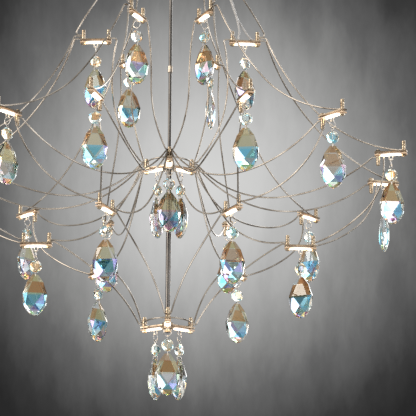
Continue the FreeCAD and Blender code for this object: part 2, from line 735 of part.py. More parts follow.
# depth below the drop's top as a share of its length, then width and thickness as shares
DROP_PROFILE = ((0.0, 0.20, 0.17), (0.30, 0.74, 0.72), (0.62, 1.08, 1.08), (0.84, 0.86, 0.82), (0.96, 0.50, 0.46))


def make_drop():
    """Pear drop, flat front and back towards local X, hung by a cross hole."""
    rings = []
    for step, (down, width, thick) in enumerate(DROP_PROFILE):
        height = DROP_TOP - down * S.drop_length
        rings.append(drop_ring(width * S.drop_width, thick * S.drop_thick, height, (step + 1) / 2))
    rings.append([Vector(0, 0, DROP_TOP - S.drop_length)])
    hole = Part.makeCylinder(S.drop_hole_radius, S.drop_thick,
                             Vector(-S.drop_thick / 2, 0, DROP_HOLE), Vector(1, 0, 0))
    return faceted(rings).cut(hole)


def make_bead():
    """Octagon bead with bevelled faces, drilled from top to bottom for the pin."""
    def octagon(flats, depth):
        corner = flats / 2 / math.cos(math.radians(22.5))
        angles = [math.radians(22.5 + 45 * k) for k in range(8)]
        return [Vector(depth, corner * math.cos(a), BEAD_MIDDLE + corner * math.sin(a)) for a in angles]
    rim = S.bead_girdle / 2
    table = S.bead_thick / 2
    bead = faceted([octagon(S.bead_table, -table), octagon(S.bead_size, -rim),
                    octagon(S.bead_size, rim), octagon(S.bead_table, table)])
    bore = Part.makeCylinder(S.pin_radius + S.slide_gap, S.bead_size + 2,
                             Vector(0, 0, BEAD_MIDDLE - S.bead_size / 2 - 1))
    return bead.cut(bore)


def make_pin(yaw):
    """Wire through the bead: an eye on the pendant ring above, a stirrup through the drop below."""
    eye = Part.makeTorus(S.eye_radius, S.pin_radius, Vector(0, 0, EYE_MIDDLE), Vector(0, 1, 0))
    shank = Part.makeCylinder(S.pin_radius, EYE_MIDDLE - S.eye_radius - STIRRUP_TOP, Vector(0, 0, STIRRUP_TOP))
    half = S.stirrup_width / 2
    top = [Vector(0, 0, STIRRUP_TOP), Vector(half, 0, STIRRUP_TOP), Vector(half, 0, STIRRUP_LOW),
           Vector(-half, 0, STIRRUP_LOW), Vector(-half, 0, STIRRUP_TOP), Vector(0, 0, STIRRUP_TOP)]
    stirrup = tube(rounded_route(top, S.stirrup_corner), S.pin_radius)
    stirrup.rotate(Vector(0, 0, 0), Vector(0, 0, 1), yaw)
    return eye.fuse([shank, stirrup])


RING = Part.makeTorus(S.ring_radius, S.ring_wire, Vector(0, 0, RING_MIDDLE), Vector(1, 0, 0))
BEAD = make_bead()
DROP = make_drop()

# azimuth that each drop faces, as it has turned on its pin, by arm and side
UPPER_FACING = {(0.0, 1): -45, (0.0, -1): 20, (120.0, 1): 88, (120.0, -1): 35, (-120.0, 1): -25, (-120.0, -1): 15}
NEAR_FACING = {(0.0, 1): -8, (0.0, -1): 5, (120.0, 1): -30, (120.0, -1): 88, (-120.0, 1): -30, (-120.0, -1): 48}
WIDE_FACING = {(0.0, 1): -5, (0.0, -1): 35, (120.0, 1): -20, (120.0, -1): 3, (-120.0, 1): 20, (-120.0, -1): 10}
LOWER_FACING = {(0.0, 1): 12, (0.0, -1): -10, (120.0, 1): 18, (120.0, -1): -22, (-120.0, 1): 8, (-120.0, -1): 42}
HUB_FACING = {0.0: 5, 120.0: 115, -120.0: -114}


def make_pendant(station, facing, label):
    yaw = facing - station.azimuth
    bead = BEAD.copy()
    bead.rotate(Vector(0, 0, 0), Vector(0, 0, 1), yaw)
    drop = DROP.copy()
    drop.rotate(Vector(0, 0, 0), Vector(0, 0, 1), yaw)
    pieces = [RING, make_pin(yaw), bead, drop]
    return solids_node([station.place(piece) for piece in pieces], label)


def make_pendants():
    rings = (("upper", UPPER, UPPER_FACING), ("near", NEAR, NEAR_FACING), ("wide", WIDE, WIDE_FACING),
             ("lower", LOWER, LOWER_FACING))
    for name, stations, facings in rings:
        for count, key in enumerate(sorted(stations), start=1):
            make_pendant(stations[key], facings[key], f"pendant_{name}_{count}")
    for name, stations in (("centre", CENTRE_HUB), ("bottom", BOTTOM_HUB)):
        for count, arm in enumerate(sorted(stations), start=1):
            make_pendant(stations[arm], HUB_FACING[arm], f"pendant_{name}_{count}")


# ---------------------------------------------------------------- build

make_bracket()
make_canopy()
make_rod()
make_sleeve("Coupler", "rod_coupler", "Sizes.coupler_radius", "Sizes.coupler_length",
            "-Sizes.hub_drop + Sizes.coupler_rise - Sizes.coupler_length / 2")
make_sleeve("LowerTube", "lower_tube", "Sizes.tube_radius", "-Sizes.bottom_rise - Sizes.hub_boss_height",
            "-Sizes.hub_drop + Sizes.bottom_rise + Sizes.hub_boss_height / 2")
make_rod_nuts()
make_hub(TOP_HUB, "top_hub")
make_hub(CENTRE_HUB, "centre_hub")
make_hub(BOTTOM_HUB, "bottom_hub")
make_hub_rings()
make_strips(UPPER.values(), "upper_bars")
make_strips([*NEAR.values(), *WIDE.values()], "middle_bars")
make_strips(LOWER.values(), "lower_bars")
make_boards()
make_chips()
make_frame_wires()
make_clamps()
make_leads()
make_clips()
make_pendants()
doc.recompute()

for item in doc.Objects:
    if "Invalid" in item.State or "Error" in item.State:
        raise ValueError(f"{item.Label} failed")

os.makedirs("parts", exist_ok=True)
for item in NODES:
    shape = item.Shape
    if shape.isNull() or not shape.isValid() or not shape.Solids:
        raise ValueError(f"{item.Label} has no valid shape")
    shape.exportStep(f"parts/{item.Label}.step")
print(f"{len(NODES)} sub-parts, {sum(len(item.Shape.Solids) for item in NODES)} solids")
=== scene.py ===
"""Crystal chandelier: a cage of bent, plated wires on a slim rod, with LED light bars clamped where
the wires meet and a coated crystal drop under each bar. Metres, in the frame of the solids."""
import json
import math

import bpy
import numpy as np
from mathutils import Matrix


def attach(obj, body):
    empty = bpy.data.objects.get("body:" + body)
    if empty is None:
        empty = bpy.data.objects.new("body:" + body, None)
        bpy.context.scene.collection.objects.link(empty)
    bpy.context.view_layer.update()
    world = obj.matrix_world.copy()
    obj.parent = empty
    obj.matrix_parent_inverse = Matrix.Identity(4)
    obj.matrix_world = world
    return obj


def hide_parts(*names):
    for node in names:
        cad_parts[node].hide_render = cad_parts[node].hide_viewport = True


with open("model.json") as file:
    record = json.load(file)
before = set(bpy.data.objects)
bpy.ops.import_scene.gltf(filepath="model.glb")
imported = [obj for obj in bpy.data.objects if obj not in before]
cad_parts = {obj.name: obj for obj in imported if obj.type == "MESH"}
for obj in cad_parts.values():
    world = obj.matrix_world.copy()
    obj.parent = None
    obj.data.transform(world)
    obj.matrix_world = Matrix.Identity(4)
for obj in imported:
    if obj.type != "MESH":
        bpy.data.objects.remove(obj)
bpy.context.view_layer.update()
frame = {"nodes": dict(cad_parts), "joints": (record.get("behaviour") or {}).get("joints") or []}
nodes = frame["nodes"]
MM = 0.001
UP = np.array([0.0, 0.0, 1.0])
CENTRE_HUB_Z = -0.560

# ------------------------------------------------------------------ camera
# The photograph looks up at the centre hub from about three metres, through a long lens. Its upper
# edge lies just above the upper ring, so the top hub and the canopy stay out of it. Turns are in
# degrees.
CAMERA_FROM_AXIS = 2.849
CAMERA_HEIGHT = -1.4906
LENS_MM, SENSOR_MM, CLIP_END = 216.35, 36.0, 50.0
PITCH, YAW, ROLL, TURN_ROUND_LAMP = 17.15, -0.94, 0.29, -0.17


def turned(degrees, axis):
    return Matrix.Rotation(math.radians(degrees), 4, axis)


camera = bpy.data.objects.new("camera", bpy.data.cameras.new("camera"))
bpy.context.scene.collection.objects.link(camera)
camera.data.sensor_width = SENSOR_MM
camera.data.lens = LENS_MM
camera.data.clip_end = CLIP_END
camera.matrix_world = (turned(TURN_ROUND_LAMP, "Z")
                       @ Matrix.Translation((0, -CAMERA_FROM_AXIS, CAMERA_HEIGHT))
                       @ turned(YAW, "Z") @ turned(90 + PITCH, "X") @ turned(ROLL, "Z"))
bpy.context.scene.camera = camera
bpy.context.scene.view_settings.view_transform = "Standard"

# ------------------------------------------------------------------ studio
# A grey canvas, seen from its front only, hangs far behind the lamp over a pale floor. Its
# tones go by the distance in pixels from its brightest place, behind the centre hub: a painted pool
# of light there that falls off to painted shade towards the edges, broken up by brush marks. Large
# soft lamps stand to the left, to the right, behind and below; the room is an even pale grey.
BACKDROP_AWAY, BACKDROP_HALF = 6.4, 2.2
FOCAL_PIXELS = 2500
PIXEL = BACKDROP_AWAY / FOCAL_PIXELS
BRIGHTEST = (-3 * PIXEL, 23 * PIXEL, 0)
CANVAS_REACH = 300
# Painted light: these tones are a pool of light behind the centre hub that falls off to painted shade at
# the canvas's edges.
CANVAS_LIGHT_POOL_TONES = ((0, "#d6d6d5"), (60, "#cbcbca"), (100, "#b8b8b7"), (140, "#9f9f9e"),
                (180, "#828281"), (212, "#646464"), (265, "#3a3a3a"), (300, "#292929"))
BRUSH_STRETCH, BRUSH_SCALE, BRUSH_SHARE = (1.0, 0.35, 1.0), 9.0, 0.22
DARKEST_IN_GLASS = 0.40
ROOM_SEEN, ROOM_LIGHT, ROOM_LEVEL = "#dadad9", "#f4f5f6", 0.55
FLOOR_Z, FLOOR_HALF, FLOOR_GREY = -2.4, 6, "#c9c9c8"
CARD_LOW = -2.3
LAMP_AIM = (0, 0, CENTRE_HUB_Z)


def hex_colour(code):
    """Linear colour of an sRGB hex code: each part to the power 2.4 above the straight toe."""
    parts = np.array([int(code[start:start + 2], 16) for start in (1, 3, 5)]) / 255
    linear = np.where(parts <= 0.04045, parts / 12.92, ((parts + 0.055) / 1.055) ** 2.4)
    return (*(float(part) for part in linear), 1.0)


def add(tree, kind, inputs=None, **settings):
    """Adds a node; an input is a value or the socket that feeds it."""
    made = tree.nodes.new(kind)
    for name, value in settings.items():
        setattr(made, name, value)
    for name, value in (inputs or {}).items():
        if isinstance(value, bpy.types.NodeSocket):
            tree.links.new(value, made.inputs[name])
        else:
            made.inputs[name].default_value = value
    return made


def fill_ramp(ramp, stops):
    """Sets a colour ramp to (position, hex) stops."""
    while len(ramp.color_ramp.elements) < len(stops):
        ramp.color_ramp.elements.new(1.0)
    for element, (position, code) in zip(ramp.color_ramp.elements, stops):
        element.position = position
        element.color = hex_colour(code)


def empty_material(name):
    material = bpy.data.materials.new(name)
    material.use_nodes = True
    material.node_tree.nodes.clear()
    return material, material.node_tree


def seen_directly(tree):
    """1 for rays that come straight from the camera or by way of metal or glass."""
    path = add(tree, "ShaderNodeLightPath")
    glossy = add(tree, "ShaderNodeMath",
                 {0: path.outputs["Is Camera Ray"], 1: path.outputs["Is Glossy Ray"]},
                 operation="MAXIMUM")
    return add(tree, "ShaderNodeMath", {0: glossy.outputs[0], 1: path.outputs["Is Transmission Ray"]},
               operation="MAXIMUM").outputs[0]


def card(name, corners, material):
    """A flat card from its corners in space."""
    mesh = bpy.data.meshes.new(name)
    mesh.from_pydata([tuple(corner) for corner in corners], [], [tuple(range(len(corners)))])
    mesh.materials.append(material)
    made = bpy.data.objects.new(name, mesh)
    bpy.context.scene.collection.objects.link(made)
    return made


def level_square(half, height):
    """Corners of a level square round the origin."""
    return [(-half, -half, height), (half, -half, height), (half, half, height), (-half, half, height)]


def canvas_with_painted_light():
    """Grey rings round the brightest place, a painted pool of light falling off to painted shade at the
    edges, broken up by brush strokes; clear from behind.
    """
    material, tree = empty_material("grey canvas, painted light pool")
    place = add(tree, "ShaderNodeTexCoord").outputs["Object"]
    middle = add(tree, "ShaderNodeVectorMath", {0: place, 1: BRIGHTEST}, operation="SUBTRACT")
    away = add(tree, "ShaderNodeVectorMath", {0: middle.outputs[0]}, operation="LENGTH")
    strokes = add(tree, "ShaderNodeVectorMath", {0: place, 1: BRUSH_STRETCH}, operation="MULTIPLY")
    mottle = add(tree, "ShaderNodeTexNoise",
                 {"Vector": strokes.outputs[0], "Scale": BRUSH_SCALE, "Detail": 5.0, "Roughness": 0.65})
    drift = add(tree, "ShaderNodeMath", {0: mottle.outputs[0], 1: BRUSH_SHARE, 2: -BRUSH_SHARE / 2},
                operation="MULTIPLY_ADD")
    share = add(tree, "ShaderNodeMath",
                {0: away.outputs["Value"], 1: 1 / (CANVAS_REACH * PIXEL), 2: drift.outputs[0]},
                operation="MULTIPLY_ADD")
    straight = add(tree, "ShaderNodeLightPath").outputs["Is Camera Ray"]
    most = add(tree, "ShaderNodeMapRange", {0: straight, 3: DARKEST_IN_GLASS, 4: 1.0})
    held = add(tree, "ShaderNodeMath", {0: share.outputs[0], 1: most.outputs[0]}, operation="MINIMUM")
    # Painted light pool and painted shade, by distance from the brightest place; the brush strokes only
    # break it up.
    tones = add(tree, "ShaderNodeValToRGB", {0: held.outputs[0]})
    fill_ramp(tones, [(pixels / CANVAS_REACH, code) for pixels, code in CANVAS_LIGHT_POOL_TONES])
    glow = add(tree, "ShaderNodeEmission", {"Color": tones.outputs[0], "Strength": seen_directly(tree)})
    clear = add(tree, "ShaderNodeBsdfTransparent")
    from_behind = add(tree, "ShaderNodeNewGeometry").outputs["Backfacing"]
    one_sided = add(tree, "ShaderNodeMixShader", {0: from_behind, 1: glow.outputs[0], 2: clear.outputs[0]})
    add(tree, "ShaderNodeOutputMaterial", {"Surface": one_sided.outputs[0]})
    return material


def floor_paint():
    material, tree = empty_material("pale floor")
    skin = add(tree, "ShaderNodeBsdfPrincipled", {"Base Color": hex_colour(FLOOR_GREY), "Roughness": 0.8})
    add(tree, "ShaderNodeOutputMaterial", {"Surface": skin.outputs[0]})
    return material


def light_room():
    """One even grey lights the room, another is what is seen of it."""
    world = bpy.data.worlds.new("studio")
    bpy.context.scene.world = world
    world.use_nodes = True
    tree = world.node_tree
    tree.nodes.clear()
    lighting = add(tree, "ShaderNodeBackground", {"Color": hex_colour(ROOM_LIGHT), "Strength": ROOM_LEVEL})
    seen = add(tree, "ShaderNodeBackground", {"Color": hex_colour(ROOM_SEEN), "Strength": 1.0})
    both = add(tree, "ShaderNodeMixShader",
               {0: seen_directly(tree), 1: lighting.outputs[0], 2: seen.outputs[0]})
    add(tree, "ShaderNodeOutputWorld", {"Surface": both.outputs[0]})


def soft_lamp(name, place, size, watts, colour):
    """A square soft box at a place, turned to shine at the centre hub."""
    lamp = bpy.data.lights.new(name, "AREA")
    lamp.size = size
    lamp.energy = watts
    lamp.color = hex_colour(colour)[:3]
    made = bpy.data.objects.new(name, lamp)
    bpy.context.scene.collection.objects.link(made)
    way = np.array(LAMP_AIM) - np.array(place)
    way = way / np.linalg.norm(way)
    side = np.cross(way, UP)
    side = side / np.linalg.norm(side)
    up = np.cross(side, way)
    made.matrix_world = Matrix([(side[0], up[0], -way[0], place[0]), (side[1], up[1], -way[1], place[1]),
                                (side[2], up[2], -way[2], place[2]), (0, 0, 0, 1)])


def upright(start, end, top):
    """Corners of an upright card over the line from start to end."""
    return [(*start, CARD_LOW), (*end, CARD_LOW), (*end, top), (*start, top)]


def studio_card(name, corners, colour, strength):
    """A card that only metal and crystal see: a dark one gives them a dark side, a white one a
    bright one."""
    cloth, tree = empty_material(name)
    even = add(tree, "ShaderNodeEmission", {"Color": hex_colour(colour), "Strength": strength})
    add(tree, "ShaderNodeOutputMaterial", {"Surface": even.outputs[0]})
    flag = card(name, corners, cloth)
    flag.visible_camera = False
    flag.visible_diffuse = False
    flag.visible_shadow = False


backdrop = card("backdrop", level_square(BACKDROP_HALF, 0), canvas_with_painted_light())
backdrop.matrix_world = camera.matrix_world @ Matrix.Translation((0, 0, -BACKDROP_AWAY))
backdrop.visible_diffuse = False
backdrop.visible_shadow = False
card("floor", level_square(FLOOR_HALF, FLOOR_Z), floor_paint())
light_room()
studio_card("black_card", upright((-3.0, -3.0), (-0.9, -3.7), 1.4), "#211f1d", 1.0)
studio_card("black_flag", upright((3.0, -1.6), (3.4, 0.6), 1.2), "#262422", 1.0)
studio_card("left_flag", upright((-3.4, 2.2), (-2.0, 4.2), 1.6), "#57534f", 1.0)
studio_card("right_flag", upright((2.3, 4.2), (3.3, 2.8), 1.6), "#57534f", 1.0)
studio_card("low_flag", [(-1.0, 1.4, CARD_LOW), (0.8, 1.4, CARD_LOW), (0.8, 2.6, CARD_LOW),
                         (-1.0, 2.6, CARD_LOW)], "#4c4844", 1.0)
studio_card("white_card", upright((-0.5, -3.8), (2.6, -3.0), 0.9), "#ffffff", 0.85)
soft_lamp("key_lamp", (-2.2, -1.3, 0.4), 1.9, 42, "#fff8f0")
soft_lamp("fill_lamp", (2.4, -1.5, -0.9), 2.2, 34, "#f6f9ff")
soft_lamp("rim_lamp", (1.1, 2.3, 0.7), 1.6, 26, "#ffffff")
soft_lamp("low_lamp", (-0.6, -0.9, -2.2), 1.6, 16, "#ffffff")

# ------------------------------------------------------------------ bent wires
# Spring-steel wire bent on a jig, polished and nickel plated with a warm, champagne cast. The
# plating is slightly wavy from drawing, so highlights break up along each wire.
TILT_DEPTH = 0.0002


def plated(name, light, dark, smooth, rough, wave_mm, bump):
    """Polished plating: the colour drifts between two hex tones and the polish between two
    roughnesses over patches wave_mm across; finer waves, a fifth of that, only tilt the surface."""
    material, tree = empty_material(name)
    place = add(tree, "ShaderNodeTexCoord").outputs["Object"]
    patches = add(tree, "ShaderNodeTexNoise",
                  {"Vector": place, "Scale": 1 / (wave_mm * MM), "Detail": 3.0})
    waves = add(tree, "ShaderNodeTexNoise", {"Vector": place, "Scale": 5 / (wave_mm * MM), "Detail": 2.0})
    tone = add(tree, "ShaderNodeValToRGB", {0: patches.outputs[0]})
    fill_ramp(tone, ((0.32, dark), (0.68, light)))
    polish = add(tree, "ShaderNodeMapRange", {0: patches.outputs[0], 1: 0.3, 2: 0.7, 3: rough, 4: smooth})
    tilt = add(tree, "ShaderNodeBump",
               {"Height": waves.outputs[0], "Strength": bump, "Distance": TILT_DEPTH})
    skin = add(tree, "ShaderNodeBsdfPrincipled",
               {"Base Color": tone.outputs[0], "Metallic": 1.0, "Roughness": polish.outputs[0],
                "Normal": tilt.outputs[0]})
    add(tree, "ShaderNodeOutputMaterial", {"Surface": skin.outputs[0]})
    return material


def dress(names, material):
    """Gives the finish to solids whose shape is already right."""
    for name in names:
        mesh = nodes[name].data
        mesh.materials.clear()
        mesh.materials.append(material)


warm_nickel = plated("warm nickel plate, drawn wire", "#cfc4b6", "#7d7368", 0.09, 0.18, 30.0, 0.04)
wires = [name for name in nodes if name.endswith("_wires")]
dress([*wires, "hub_rings"], warm_nickel)

# ------------------------------------------------------------------ rod, canopy and hubs
# A drawn steel rod through three cast hubs, with a spun canopy over the ceiling plate; all plated
# with the wires. The ceiling plate itself is zinc plated and dull.
nickel_rod = plated("warm nickel plate, drawn rod", "#7c7772", "#5a5652", 0.08, 0.16, 40.0, 0.03)
spun_nickel = plated("warm nickel plate, spun sheet", "#cdbfae", "#ab9d8d", 0.12, 0.20, 30.0, 0.10)
satin_nickel = plated("warm nickel plate, satin strip", "#cbb79d", "#93806b", 0.24, 0.38, 6.0, 0.15)
zinc = plated("zinc plate, dull", "#b4b6b8", "#8e9194", 0.42, 0.55, 9.0, 0.20)
dress(["suspension_rod", "lower_tube"], nickel_rod)
dress(["rod_coupler"], spun_nickel)
dress(["canopy"], spun_nickel)
dress(["ceiling_bracket"], zinc)
dress(["top_hub", "centre_hub", "bottom_hub", "upper_bars", "middle_bars", "lower_bars"], satin_nickel)

# ------------------------------------------------------------------ clamp screws and nuts
# Small plated machine screws and hexagon nuts, with a domed cap on each screw head. RINGS gives a
# ring's radius and its height over the centre hub in millimetres, and the degrees from each arm to
# the light bars on either side of it.
HALF_PITCH = 15.3 * MM
STRIP_TOP, BOARD_UNDER = 2.4 * MM, -2.1 * MM
HUB_POST_OUT = 31.5 * MM
RINGS = {"upper": (91.0, 162.0, 26.2), "near": (267.5, 0.0, 18.0), "wide": (267.5, 0.0, 43.0),
         "lower": (157.5, -96.5, 27.0)}
HANGING_INSIDE = ("near", "wide")
HUB_RISES = (310.0, 0.0, -197.0)
ARMS = (0.0, 120.0, -120.0)
BARREL_RADIUS, HUB_BARREL_RADIUS, BARREL_HEIGHT = 2.5 * MM, 3.2 * MM, 9.6 * MM
HEAD_HEIGHT, CAP_RADIUS, CAP_HEIGHT = 1.8 * MM, 2.25 * MM, 1.1 * MM
CAP_SIDES, POLE_RADIUS = 16, 1e-6


def outward(azimuth):
    return np.array([math.sin(math.radians(azimuth)), -math.cos(math.radians(azimuth)), 0.0])


def clamp_feet():
    """Foot, direction and radius of every terminal: the clamp points of the bars and hubs. At the
    inner ends of the HANGING_INSIDE bars they hang under the board, upside down."""
    feet = []
    for ring, (radius, rise, spread) in RINGS.items():
        for arm in ARMS:
            for side in (1, -1):
                way = outward(arm + side * spread)
                for along in (HALF_PITCH, -HALF_PITCH):
                    hangs = along < 0 and ring in HANGING_INSIDE
                    height = CENTRE_HUB_Z + rise * MM + (BOARD_UNDER if hangs else STRIP_TOP)
                    point = way * (radius * MM + along) + UP * height
                    feet.append((point, -1 if hangs else 1, BARREL_RADIUS))
    for rise in HUB_RISES:
        for arm in ARMS:
            point = outward(arm) * HUB_POST_OUT + UP * (CENTRE_HUB_Z + rise * MM + STRIP_TOP)
            feet.append((point, 1, HUB_BARREL_RADIUS))
    return feet


def turned_shapes(profiles, sides):
    """Revolves each (foot, direction, heights, radii) profile: point = foot + (r cos t, r sin t, h)
    over a grid of heights h and angles t; direction -1 turns it upside down."""
    angles = np.linspace(0, 2 * np.pi, sides, endpoint=False)
    points, faces, start = [], [], 0
    for foot, direction, heights, radii in profiles:
        h, t = np.meshgrid(heights, angles, indexing="ij")
        r = np.meshgrid(radii, angles, indexing="ij")[0]
        grid = np.stack([r * np.cos(t), r * np.sin(t), direction * h], axis=-1) + foot
        points.append(grid.reshape(-1, 3))
        i, j = np.meshgrid(np.arange(len(heights) - 1), np.arange(sides), indexing="ij")
        a = start + i * sides + j
        b = start + i * sides + (j + 1) % sides
        quads = np.stack([a, b, b + sides, a + sides], axis=-1).reshape(-1, 4)
        faces.append(quads if direction > 0 else quads[:, ::-1])
        start += len(heights) * sides
    return np.concatenate(points), np.concatenate(faces)


def piece(name, points, faces, material, body, slot, smooth=True):
    """One mesh at the origin that moves with a body."""
    mesh = bpy.data.meshes.new(name)
    mesh.from_pydata(np.asarray(points).tolist(), [], [tuple(map(int, face)) for face in faces])
    mesh.materials.append(material)
    if smooth:
        mesh.shade_smooth()
    made = bpy.data.objects.new(name, mesh)
    bpy.context.scene.collection.objects.link(made)
    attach(made, body)
    return made


steel = plated("plated machine screw", "#e2cfb4", "#9a846a", 0.14, 0.28, 2.5, 0.1)
dress(["clamp_screws", "clamp_nuts", "rod_nuts"], steel)
cap_angles = np.linspace(0, np.pi / 2, 7)
cap_profile = (CAP_HEIGHT * np.sin(cap_angles), CAP_RADIUS * np.cos(cap_angles) + POLE_RADIUS)
caps = [(foot + UP * way * (BARREL_HEIGHT + HEAD_HEIGHT), way, *cap_profile)
        for foot, way, _ in clamp_feet()]
piece("screw_caps", *turned_shapes(caps, CAP_SIDES), steel, "cage", "plated_fastener")

# ------------------------------------------------------------------ wire terminals
# The wire ends are curled into tight eyes and stacked on the screw, so each terminal reads as a
# banded barrel: one rounded band for each eye with a dark groove between.
BANDS, BAND_STEPS, GROOVE, FULLNESS = 3, 8, 0.35 * MM, 0.6
BARREL_BORE, BARREL_SIDES = 1.3 * MM, 20


def band_profile(radius):
    """Heights and radii of a stack of rounded bands: radius - GROOVE * (1 - |sin|^FULLNESS) over
    the height, closed in to the bore at both ends."""
    heights = np.linspace(0, BARREL_HEIGHT, BAND_STEPS * BANDS + 1)
    wave = np.abs(np.sin(np.pi * BANDS * heights / BARREL_HEIGHT)) ** FULLNESS
    radii = radius - GROOVE * (1 - wave)
    return (np.concatenate([[0], heights, [BARREL_HEIGHT]]),
            np.concatenate([[BARREL_BORE], radii, [BARREL_BORE]]))


brass = plated("turned brass under thin nickel", "#d9c6aa", "#8c765e", 0.14, 0.28, 3.0, 0.1)
barrels = [(foot, way, *band_profile(radius)) for foot, way, radius in clamp_feet()]
terminals = piece("banded_terminals", *turned_shapes(barrels, BARREL_SIDES), brass, "cage",
                  "plated_terminal")
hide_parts("wire_terminals")
dress(["bar_spacers"], brass)

# ------------------------------------------------------------------ LED boards
# White solder-mask boards under the strips, with a painted glow: the underside glows white round the
# phosphor chips, the real light, which are brightest, and fades to a warm tone towards the clamp
# screws at both ends; the sides glow more faintly. The mask's colour turns a darker, warmer tan
# towards the ends as painted shade.
# Painted glow: the board itself emits, strongest at the bar's middle and faint at its ends; only the chips
# are the real light.
PAINTED_GLOW_MIDDLE, PAINTED_GLOW_ENDS, CHIP_GLOW = 2.4, 0.12, 7.0
SIDE_SHARE = 0.35
LIT_HALF, DARK_HALF = 4 * MM, 14 * MM


def board_with_painted_glow():
    """Solder mask with a painted glow that falls from the bar's middle, LIT_HALF out, to its ends,
    DARK_HALF out, and is SIDE_SHARE as strong on every side but the underside; its colour turns a
    darker tan towards the ends, painted shade."""
    material, tree = empty_material("white solder mask, painted glow and shade")
    normal = add(tree, "ShaderNodeNewGeometry").outputs["Normal"]
    down = add(tree, "ShaderNodeSeparateXYZ", {0: normal}).outputs["Z"]
    under = add(tree, "ShaderNodeMapRange", {0: down, 1: -0.5, 2: -0.6, 3: SIDE_SHARE, 4: 1.0})
    place = add(tree, "ShaderNodeTexCoord").outputs["Object"]
    flat = add(tree, "ShaderNodeVectorMath", {0: place, 1: (1, 1, 0)}, operation="MULTIPLY")
    from_rod = add(tree, "ShaderNodeVectorMath", {0: flat.outputs[0]}, operation="LENGTH").outputs["Value"]
    bar_radii = sorted({radius * MM for radius, _, _ in RINGS.values()})
    nearest = 1.0
    for bar_radius in (HUB_POST_OUT - HALF_PITCH, *bar_radii):
        past = add(tree, "ShaderNodeMath", {0: from_rod, 1: bar_radius}, operation="SUBTRACT")
        away = add(tree, "ShaderNodeMath", {0: past.outputs[0]}, operation="ABSOLUTE")
        nearest = add(tree, "ShaderNodeMath", {0: away.outputs[0], 1: nearest},
                      operation="MINIMUM").outputs[0]
    lit = add(tree, "ShaderNodeMapRange", {0: nearest, 1: LIT_HALF, 2: DARK_HALF, 3: 1.0, 4: 0.0})
    share = add(tree, "ShaderNodeMath", {0: lit.outputs[0], 1: under.outputs[0]}, operation="MULTIPLY")
    painted_glow_level = add(tree, "ShaderNodeMapRange", {0: share.outputs[0], 3: PAINTED_GLOW_ENDS, 4: PAINTED_GLOW_MIDDLE})
    painted_glow_tone = add(tree, "ShaderNodeValToRGB", {0: share.outputs[0]})
    fill_ramp(painted_glow_tone, ((0.0, "#e0a876"), (0.5, "#ffe2c0"), (1.0, "#fff6ea")))
    # Painted shade: the mask's own colour turns a darker, warmer tan towards the bar's ends.
    mask_painted_shade_tone = add(tree, "ShaderNodeValToRGB", {0: lit.outputs[0]})
    fill_ramp(mask_painted_shade_tone, ((0.0, "#d2b698"), (0.6, "#f2efe8")))
    skin = add(tree, "ShaderNodeBsdfPrincipled",
               {"Base Color": mask_painted_shade_tone.outputs[0], "Roughness": 0.35,
                "Emission Color": painted_glow_tone.outputs[0], "Emission Strength": painted_glow_level.outputs[0]})
    add(tree, "ShaderNodeOutputMaterial", {"Surface": skin.outputs[0]})
    return material


def lit_phosphor():
    material, tree = empty_material("LED phosphor, lit")
    skin = add(tree, "ShaderNodeBsdfPrincipled",
               {"Base Color": hex_colour("#fff0c8"), "Roughness": 0.5,
                "Emission Color": hex_colour("#ffe9c9"), "Emission Strength": CHIP_GLOW})
    add(tree, "ShaderNodeOutputMaterial", {"Surface": skin.outputs[0]})
    return material


dress(["led_boards"], board_with_painted_glow())
dress(["led_chips"], lit_phosphor())

# ------------------------------------------------------------------ power leads
# Two leads run down beside the rod and out to one upper bar, in pale grey, slightly glossy plastic
# insulation. The tinned strands inside show through it as soft patches of light and dark.
STRAND_PATCH = 2.0 * MM


def lead_insulation():
    material, tree = empty_material("clear grey PVC insulation")
    place = add(tree, "ShaderNodeTexCoord").outputs["Object"]
    strands = add(tree, "ShaderNodeTexNoise", {"Vector": place, "Scale": 1 / STRAND_PATCH, "Detail": 2.0})
    tone = add(tree, "ShaderNodeValToRGB", {0: strands.outputs[0]})
    fill_ramp(tone, ((0.35, "#b3aea9"), (0.65, "#c6c2bd")))
    skin = add(tree, "ShaderNodeBsdfPrincipled",
               {"Base Color": tone.outputs[0], "Roughness": 0.32, "Coat Weight": 0.4,
                "Coat Roughness": 0.12})
    add(tree, "ShaderNodeOutputMaterial", {"Surface": skin.outputs[0]})
    return material


dress(["power_leads"], lead_insulation())

# ------------------------------------------------------------------ crystal links
# Bright plated spring wire: a U clip under each board, a ring on the clip, and a pin through the
# bead that ends in a stirrup through the drop. Heights count from the bar's middle.
PIVOT_BELOW_BAR = 8.6 * MM
RING_MIDDLE, RING_RADIUS, RING_WIRE = -11.8 * MM, 4.6 * MM, 0.5 * MM
EYE_MIDDLE, EYE_RADIUS, PIN_WIRE = -17.1 * MM, 1.7 * MM, 0.4 * MM
STIRRUP_TOP, STIRRUP_LOW, STIRRUP_HALF, STIRRUP_CORNER = -34.9 * MM, -39.9 * MM, 2.7 * MM, 0.9 * MM
RING_STEPS, EYE_STEPS, LINK_SIDES = 28, 18, 8


